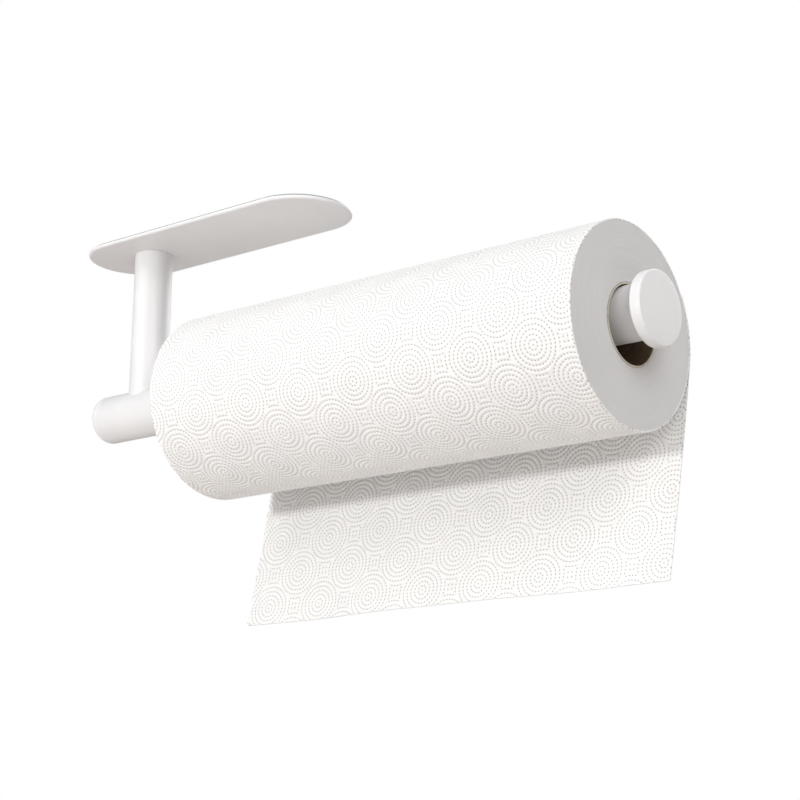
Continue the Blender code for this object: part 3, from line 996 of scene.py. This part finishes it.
# ------------------------------------------------------------ wound paper
def ply_offset(radius, angle):
    """How far one turn's cut edge stands in or out, in metres."""
    ring = radius * 900
    slow_swing, fast_swing, fast_start = 0.6, 1.7, 40
    slow = noise.noise(Vector((ring * 0.35, math.cos(angle) * slow_swing,
                               math.sin(angle) * slow_swing)))
    fast = noise.noise(Vector((ring * 2.3 + fast_start, math.cos(angle) * fast_swing,
                               math.sin(angle) * fast_swing)))
    return 0.00006 * slow + 0.00004 * fast


def wound_end(bm, side, x, bore, outer, turns):
    """One end face: a spiral of turns between the bore and the outer circle.

    Returns the bore's and the outer circle's vertices.
    """
    bore_sunk, outer_sunk, turns_sunk = 0.0003, 0.00005, 0.00012
    pitch = (outer - bore) / (turns + 1)
    angles = round_angles(CORE_SEGMENTS)
    round_count = len(angles)

    def point(radius, angle, sunk):
        return bm.verts.new(on_roll(x - side * sunk, radius, angle))

    bore_ring = [point(bore, angle, bore_sunk) for angle in angles]
    outer_ring = [point(outer, angle, outer_sunk) for angle in angles]
    spiral = []
    for k in range(turns * round_count + 1):
        angle = angles[k % round_count]
        radius = bore + pitch * (0.5 + k / round_count)
        spiral.append(point(radius, angle, turns_sunk + ply_offset(radius, angle)))
    last = (turns - 1) * round_count
    faces = []
    for k in range(last):
        faces.append((spiral[k], spiral[k + 1], spiral[k + 1 + round_count],
                      spiral[k + round_count]))
    for i in range(round_count):
        j = (i + 1) % round_count
        faces.append((bore_ring[i], bore_ring[j], spiral[i + 1], spiral[i]))
        faces.append((spiral[last + i], spiral[last + i + 1], outer_ring[j], outer_ring[i]))
    faces.append((bore_ring[0], spiral[0], spiral[round_count]))
    faces.append((spiral[last], outer_ring[0], spiral[last + round_count]))
    for corners in faces:
        bm.faces.new(corners)
    return bore_ring, outer_ring


# ------------------------------------------------------------ piece makers
def finish_piece(obj, finish, body, slot, *nodes):
    """Give a piece its finish and its body, and hide the nodes it stands for. The slot is not
    used.
    """
    obj.data.materials.clear()
    obj.data.materials.append(finish)
    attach(obj, body)
    if nodes:
        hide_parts(*nodes)


class TOWEL_OT_foam_pad(Operator):
    """Foam tape pad between the plate and the cabinet"""
    bl_idname = "towel_holder.foam_pad"
    bl_label = "Foam Pad"

    def execute(self, context):
        length = PAD_HIGH.x - PAD_LOW.x
        width = PAD_HIGH.y - PAD_LOW.y
        low = PLATE_HIGH.z + CONTACT
        bulge = (PAD_HIGH.z - low) / 2
        steepest = math.radians(65)
        levels = [(bulge * (1 - math.cos(angle)), PAD_HIGH.z - bulge * (1 - math.sin(angle)))
                  for angle in evenly(steepest, -steepest, 8)]
        top, bottom = levels[0][0], levels[-1][0]
        levels = [(top + bulge, PAD_HIGH.z), *levels, (bottom + bulge, low)]
        obj = new_object("foam_pad", bar(length, width, levels), sharp_angle=50)
        finish_piece(obj, foam_finish(), "holder", "foam_tape", "adhesive_pad")
        return {'FINISHED'}


class TOWEL_OT_plate(Operator):
    """Enamelled mounting plate with its countersink and dowel holes"""
    bl_idname = "towel_holder.plate"
    bl_label = "Mounting Plate"

    def execute(self, context):
        rounding = context.scene.towel_holder_sizes.plate_rounding
        length = PLATE_HIGH.x - PLATE_LOW.x
        width = PLATE_HIGH.y - PLATE_LOW.y
        lower = quarter_round(rounding, PLATE_LOW.z, turn=-1, steps=8)
        upper = quarter_round(rounding / 4, PLATE_HIGH.z, turn=1, steps=4)
        obj = new_object("enamelled_plate", bar(length, width, [*upper, *lower]))
        below, above = PLATE_LOW.z - GAP, PLATE_HIGH.z + GAP
        clearance = BOLT_HEAD_RADIUS + 2 * GAP
        depth = PLATE_HIGH.z - PLATE_LOW.z
        head = [(0, below), (clearance - depth - GAP, below),
                (clearance, PLATE_HIGH.z), (clearance, above), (0, above)]
        holes = [turned(head, CUTTER_SEGMENTS, upright(POST_X), on_axis=True)]
        for side in (-1, 1):
            holes.append(rod(DOWEL_RADIUS + GAP, below, above,
                             upright(POST_X, side * DOWEL_Y), HOLE_SEGMENTS))
        cut(obj, *holes)
        finish_piece(obj, enamel_finish(), "holder", "white_enamel", "mounting_plate")
        return {'FINISHED'}


class TOWEL_OT_post(Operator):
    """Enamelled post, its lower end cut to the arm's round"""
    bl_idname = "towel_holder.post"
    bl_label = "Post"

    def execute(self, context):
        sizes = context.scene.towel_holder_sizes
        top = PLATE_LOW.z - CONTACT
        bore = POST_RADIUS - sizes.post_wall
        easing = 0.0002
        corners = [(bore, ARM_Z, 0), (POST_RADIUS, ARM_Z, 0), (POST_RADIUS, top, easing),
                   (bore, top, easing)]
        obj = turned_piece("enamelled_post", corners, 3, sizes.round_segments, upright(POST_X))
        reach = 2 * POST_RADIUS
        cut(obj, rod(ARM_RADIUS + CONTACT, -reach, reach, along_x(POST_X, ARM_Z), 256))
        finish_piece(obj, enamel_finish(), "holder", "white_enamel", "post_tube")
        return {'FINISHED'}


class TOWEL_OT_arm(Operator):
    """Enamelled arm tube with the holes for its bolt and dowels"""
    bl_idname = "towel_holder.arm"
    bl_label = "Arm"

    def execute(self, context):
        sizes = context.scene.towel_holder_sizes
        bore = ARM_RADIUS - sizes.arm_wall
        easing = 0.00008
        low, high = ARM_LOW.x - GAP + CONTACT, DISC_LOW.x - CONTACT
        corners = [(bore, low, 0), (ARM_RADIUS, low, easing),
                   (ARM_RADIUS, high, easing), (bore, high, 0)]
        obj = turned_piece("enamelled_arm", corners, 3, sizes.round_segments,
                           along_x(0, ARM_Z))
        dowel_low, dowel_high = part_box("arm_dowel_1")
        dowel_x = abs((dowel_low.x + dowel_high.x) / 2 - POST_X)
        span = (ARM_Z, ARM_HIGH.z + GAP)
        holes = [rod(SHANK_HOLE_RADIUS, *span, upright(POST_X), 32)]
        for side in (-1, 1):
            holes.append(rod(DOWEL_RADIUS + GAP, *span, upright(POST_X + side * dowel_x),
                             HOLE_SEGMENTS))
        cut(obj, *holes)
        finish_piece(obj, enamel_finish(), "holder", "white_enamel", "arm_tube")
        return {'FINISHED'}


class TOWEL_OT_end_cap(Operator):
    """Rounded cap that closes the stub behind the post"""
    bl_idname = "towel_holder.end_cap"
    bl_label = "End Cap"

    def execute(self, context):
        sizes = context.scene.towel_holder_sizes
        skirt = ARM_RADIUS - sizes.arm_wall - GAP
        skirt_wall = 0.0025
        hollow = skirt - skirt_wall
        seat = ARM_LOW.x - GAP - CAP_LOW.x
        floor = seat * 0.7
        tip = CAP_HIGH.x - CAP_LOW.x
        seam_easing, tip_easing, lip_easing, floor_easing = 0.00006, 0.0006, 0.0004, 0.001
        corners = [(0, 0, 0), (ARM_RADIUS, 0, sizes.cap_rounding),
                   (ARM_RADIUS, seat, seam_easing), (skirt, seat, 0), (skirt, tip, tip_easing),
                   (hollow, tip, lip_easing), (hollow, floor, floor_easing), (0, floor, 0)]
        obj = turned_piece("stub_cap", corners, 12, sizes.round_segments,
                           along_x(CAP_LOW.x, ARM_Z), on_axis=True)
        finish_piece(obj, moulding_finish(), "holder", "white_moulding", "arm_end_cap")
        return {'FINISHED'}


class TOWEL_OT_stop_disc(Operator):
    """Round stop on the arm's free end"""
    bl_idname = "towel_holder.stop_disc"
    bl_label = "Stop Disc"

    def execute(self, context):
        sizes = context.scene.towel_holder_sizes
        stud_low, stud_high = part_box("disc_stud")
        hole = (stud_high.z - stud_low.z) / 2 + GAP
        depth = stud_high.x - DISC_LOW.x + GAP
        thick = DISC_HIGH.x - DISC_LOW.x
        crown = 0.0001
        crown_radius, crown_fall = DISC_RADIUS * 0.6, crown * 0.3
        corners = [(0, depth, 0), (hole, depth, 0), (hole, 0, 0),
                   (DISC_RADIUS, 0, sizes.disc_rounding),
                   (DISC_RADIUS, thick - crown, sizes.disc_rounding),
                   (crown_radius, thick - crown_fall, 0), (0, thick, 0)]
        obj = turned_piece("end_disc", corners, 10, sizes.round_segments,
                           along_x(DISC_LOW.x, ARM_Z), on_axis=True)
        finish_piece(obj, enamel_finish(), "holder", "white_enamel", "stop_disc")
        return {'FINISHED'}


class TOWEL_OT_hardware(Operator):
    """Metal finishes for the hidden bolt, dowels, plugs, anchor and stud"""
    bl_idname = "towel_holder.hardware"
    bl_label = "Hidden Hardware"

    def execute(self, context):
        steel = metal_finish("zinc_plated_steel", colours().steel, roughness=0.36)
        alloy = metal_finish("turned_alloy_marks", colours().alloy, roughness=0.40)
        for names, finish in ((("tie_bolt", "plate_dowel_1", "plate_dowel_2", "arm_dowel_1",
                                "arm_dowel_2", "disc_stud"), steel),
                              (("post_top_plug", "post_saddle_plug", "arm_anchor",
                                "arm_end_plug"), alloy)):
            for name in names:
                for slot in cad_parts[name].material_slots:
                    slot.material = finish
        return {'FINISHED'}


class TOWEL_OT_card_core(Operator):
    """Kraft card core inside the roll"""
    bl_idname = "towel_holder.card_core"
    bl_label = "Card Core"

    def execute(self, context):
        card = context.scene.towel_holder_towel.core_wall
        bore = CORE_RADIUS - card
        easing = card * 0.25
        length = CORE_HIGH.x - CORE_LOW.x
        corners = [(bore, 0, easing), (CORE_RADIUS, 0, easing),
                   (CORE_RADIUS, length, easing), (bore, length, easing)]
        obj = turned_piece("card_core", corners, 4, CORE_SEGMENTS, along_x(CORE_LOW.x, ROLL_Z))
        finish_piece(obj, card_finish(), "roll", "brown_card", "cardboard_core")
        obj.data.materials.append(card_edge_finish())
        for face in obj.data.polygons:
            face.material_index = int(abs(face.normal.x) > 0.5)
        return {'FINISHED'}


class TOWEL_OT_wound_paper(Operator):
    """Wound body of the roll, with its turns in the end faces"""
    bl_idname = "towel_holder.wound_paper"
    bl_label = "Wound Paper"

    def execute(self, context):
        sizes = context.scene.towel_holder_towel
        bore = CORE_RADIUS + CONTACT
        outer = ROLL_RADIUS - sizes.turn_thickness - CONTACT
        bm = bmesh.new()
        ends = [wound_end(bm, side, x, bore, outer, sizes.wound_turns) for side, x in ROLL_ENDS]
        for near, far in zip(*ends):
            wall(bm, near, far)
        bmesh.ops.recalc_face_normals(bm, faces=bm.faces)
        obj = new_object("wound_paper", bm, sharp_angle=60)
        finish_piece(obj, cut_paper_finish(), "roll", "towel_paper")
        return {'FINISHED'}


class TOWEL_OT_outer_turn(Operator):
    """Embossed outermost turn of the roll"""
    bl_idname = "towel_holder.outer_turn"
    bl_label = "Outer Turn"

    def execute(self, context):
        sizes = context.scene.towel_holder_towel
        front_row_rise = 0.0015
        rows_before = 7.5
        first_angle = (front_row_rise - rows_before * row_height(sizes)) / ROLL_RADIUS
        carrier = roll_carrier(sizes, first_angle)
        obj, bm = embossed("outer_turn", sizes, sizes.dot_depth, carrier, sizes.rows_round, 0.0)
        trimmed(bm)
        close_ends(bm, ROLL_RADIUS - sizes.turn_thickness)
        bmesh.ops.triangulate(bm, faces=bm.faces)
        put_back(bm, obj.data, TOWEL_EDGE)
        finish_piece(obj, towel_finish(), "roll", "towel_paper", "paper_roll")
        return {'FINISHED'}


class TOWEL_OT_loose_towel(Operator):
    """Loose towel that hangs from the back of the roll"""
    bl_idname = "towel_holder.loose_towel"
    bl_label = "Loose Towel"

    def hanging_place(self, sizes, out, down):
        """Function that gives the towel's outer face: on the roll, then hanging down."""
        leave = math.pi + sizes.sheet_lean
        top_radius = ROLL_RADIUS + CONTACT + sizes.sheet_thickness
        leave_radius = ROLL_RADIUS + GAP + sizes.sheet_thickness
        wave_across, wave_start, wave_growth = 31, 0.6, 1.5
        ripple_share, ripple_across, ripple_along, ripple_start = 0.35, 74, 18, 2.0

        def place(u, v):
            run = v - sizes.sheet_wrap
            x = ROLL_LOW.x + u
            if run < 0:
                share = max(0.0, v / sizes.sheet_wrap)
                radius = top_radius + (leave_radius - top_radius) * share
                return on_roll(x, radius, leave + run / ROLL_RADIUS)
            share = run / sizes.sheet_drop
            ripple = math.sin(u * ripple_across + run * ripple_along + ripple_start)
            wave = sizes.sheet_wave * share ** wave_growth * (
                math.sin(u * wave_across + wave_start) + ripple_share * ripple)
            away = leave_radius - sizes.sheet_curl * share * share + wave
            spot = out * away + down * run
            return (x, spot.x, ROLL_Z + spot.y)

        return place

    def execute(self, context):
        sizes = context.scene.towel_holder_towel
        lean = sizes.sheet_lean
        out = Vector((math.cos(lean), -math.sin(lean)))
        down = Vector((-math.sin(lean), -math.cos(lean)))
        place = self.hanging_place(sizes, out, down)
        height = row_height(sizes)
        length = sizes.sheet_wrap + sizes.sheet_drop
        row_below_leave, rows_before = 0.0273, 3.5
        start_along = sizes.sheet_wrap + row_below_leave - rows_before * height
        rows = math.ceil((length - start_along) / height)
        carrier = carrier_object(
            "towel_carrier", evenly(-BEYOND_ENDS, ROLL_LENGTH + BEYOND_ENDS, 72),
            evenly(-height / 3, length + height / 3, 120), place)
        depth = sizes.sheet_dot_depth
        obj, bm = embossed("loose_towel", sizes, depth, carrier, rows, start_along)
        first_angle = math.pi + lean - sizes.sheet_wrap / ROLL_RADIUS
        upper_cut = ((0, 0, ROLL_Z), (0, -math.sin(first_angle), -math.cos(first_angle)))
        edge = place(0, length)
        end = down - out * (2 * sizes.sheet_curl / sizes.sheet_drop)
        trimmed(bm, upper_cut, ((0, edge[1], edge[2]), (0, end.x, end.y)))
        two_faced(bm, sizes.sheet_thickness, depth)
        put_back(bm, obj.data, TOWEL_EDGE)
        finish_piece(obj, towel_finish(), "loose_sheet", "towel_paper", "hanging_sheet")
        return {'FINISHED'}


class TOWEL_OT_stage(Operator):
    """Pale floor, soft studio light and the camera"""
    bl_idname = "towel_holder.stage"
    bl_label = "Stage"

    def execute(self, context):
        stage = context.scene.towel_holder_stage
        self.make_floor(stage)
        self.make_surround(context, stage)
        # degrees from the front towards +X, degrees up, metres away, metres across, watts
        for name, *light in (("key_light", -10, 2, 1.8, 0.22, stage.key_power),
                             ("left_box", -28, 30, 2.2, 1.8, stage.left_power),
                             ("right_box", 66, 30, 2.2, 1.8, stage.right_power),
                             ("back_box", 180, 34, 2.4, 2.2, stage.back_power)):
            self.area_light(context, name, *light)
        self.make_camera(context, stage)
        context.scene.view_settings.view_transform = 'Standard'
        return {'FINISHED'}

    def make_floor(self, stage):
        half = 2.4
        bm = bmesh.new()
        bm.faces.new([bm.verts.new((x * half, y * half, -stage.floor_drop))
                      for x, y in ((-1, -1), (1, -1), (1, 1), (-1, 1))])
        floor = new_object("pale_floor", bm)
        made, nodes, shader, places = new_finish("pale_floor_paint", roughness=0.92)
        grain = nodes.grain(places["Object"], grain_scale=60.0, mottle_scale=1.5)
        nodes.feed(shader["Base Color"], nodes.mix(
            grain["Mottle"], rgba(stage.floor_colour, 0.97), rgba(stage.floor_colour)))
        floor.data.materials.append(made)

    def make_surround(self, context, stage):
        world = bpy.data.worlds.new("studio_surround")
        world.use_nodes = True
        context.scene.world = world
        world.node_tree.nodes.clear()
        nodes = Nodes(world.node_tree)
        lit, seen = (nodes.add('ShaderNodeBackground', {"Color": WHITE, "Strength": strength})
                     for strength in (stage.surround, 1.0))
        is_seen = nodes.add('ShaderNodeLightPath').outputs["Is Camera Ray"]
        mixed = nodes.add('ShaderNodeMixShader', {0: is_seen, 1: lit.outputs[0],
                                                  2: seen.outputs[0]})
        nodes.add('ShaderNodeOutputWorld', {"Surface": mixed.outputs[0]})

    def area_light(self, context, name, turn, height, away, size, power):
        """Round light that faces the roll."""
        data = bpy.data.lights.new(name, 'AREA')
        data.shape = 'DISK'
        data.size = size
        data.energy = power
        light = bpy.data.objects.new(name, data)
        context.scene.collection.objects.link(light)
        turn, height = math.radians(turn), math.radians(height)
        middle = Vector(((ROLL_LOW.x + ROLL_HIGH.x) / 2, 0, ROLL_Z))
        towards = Vector((math.sin(turn) * math.cos(height), -math.cos(turn) * math.cos(height),
                          math.sin(height)))
        light.location = middle + towards * away
        light.rotation_euler = towards.to_track_quat('Z', 'Y').to_euler()
        light.visible_camera = False

    def make_camera(self, context, stage):
        data = bpy.data.cameras.new("view_camera")
        data.sensor_width = 36
        data.lens = stage.lens
        data.clip_start, data.clip_end = 0.05, 50
        camera = bpy.data.objects.new("view_camera", data)
        context.scene.collection.objects.link(camera)
        turn = (Matrix.Rotation(stage.camera_yaw, 4, 'Z')
                @ Matrix.Rotation(math.pi / 2 + stage.camera_pitch, 4, 'X')
                @ Matrix.Rotation(stage.camera_roll, 4, 'Z'))
        camera.matrix_world = Matrix.Translation(stage.camera_place) @ turn
        context.scene.camera = camera


OPERATORS = (TOWEL_OT_foam_pad, TOWEL_OT_plate, TOWEL_OT_post, TOWEL_OT_arm, TOWEL_OT_end_cap,
             TOWEL_OT_stop_disc, TOWEL_OT_hardware, TOWEL_OT_card_core, TOWEL_OT_wound_paper,
             TOWEL_OT_outer_turn, TOWEL_OT_loose_towel, TOWEL_OT_stage)
SETTINGS = (("towel_holder_sizes", HolderSizes), ("towel_holder_towel", TowelSizes),
            ("towel_holder_colours", FinishColours), ("towel_holder_stage", StageSettings))


class TOWEL_PT_holder(Panel):
    """Steps and settings of the towel holder"""
    bl_idname = "TOWEL_PT_holder"
    bl_label = "Towel Holder"
    bl_space_type = 'VIEW_3D'
    bl_region_type = 'UI'
    bl_category = "Towel Holder"

    def draw(self, context):
        for operator in OPERATORS:
            self.layout.operator(operator.bl_idname)
        for name, kind in SETTINGS:
            box = self.layout.box()
            group = getattr(context.scene, name)
            for setting in kind.__annotations__:
                box.prop(group, setting)


def register():
    for name, kind in SETTINGS:
        bpy.utils.register_class(kind)
        setattr(bpy.types.Scene, name, PointerProperty(type=kind))
    for operator in OPERATORS:
        bpy.utils.register_class(operator)
    bpy.utils.register_class(TOWEL_PT_holder)


def unregister():
    bpy.utils.unregister_class(TOWEL_PT_holder)
    for operator in reversed(OPERATORS):
        bpy.utils.unregister_class(operator)
    for name, kind in reversed(SETTINGS):
        delattr(bpy.types.Scene, name)
        bpy.utils.unregister_class(kind)


def main():
    register()
    for operator in OPERATORS:
        group, name = operator.bl_idname.split(".")
        result = getattr(getattr(bpy.ops, group), name)()
        if result != {'FINISHED'}:
            raise RuntimeError(f"{operator.bl_label} didn't finish")


if __name__ == "__main__":
    main()
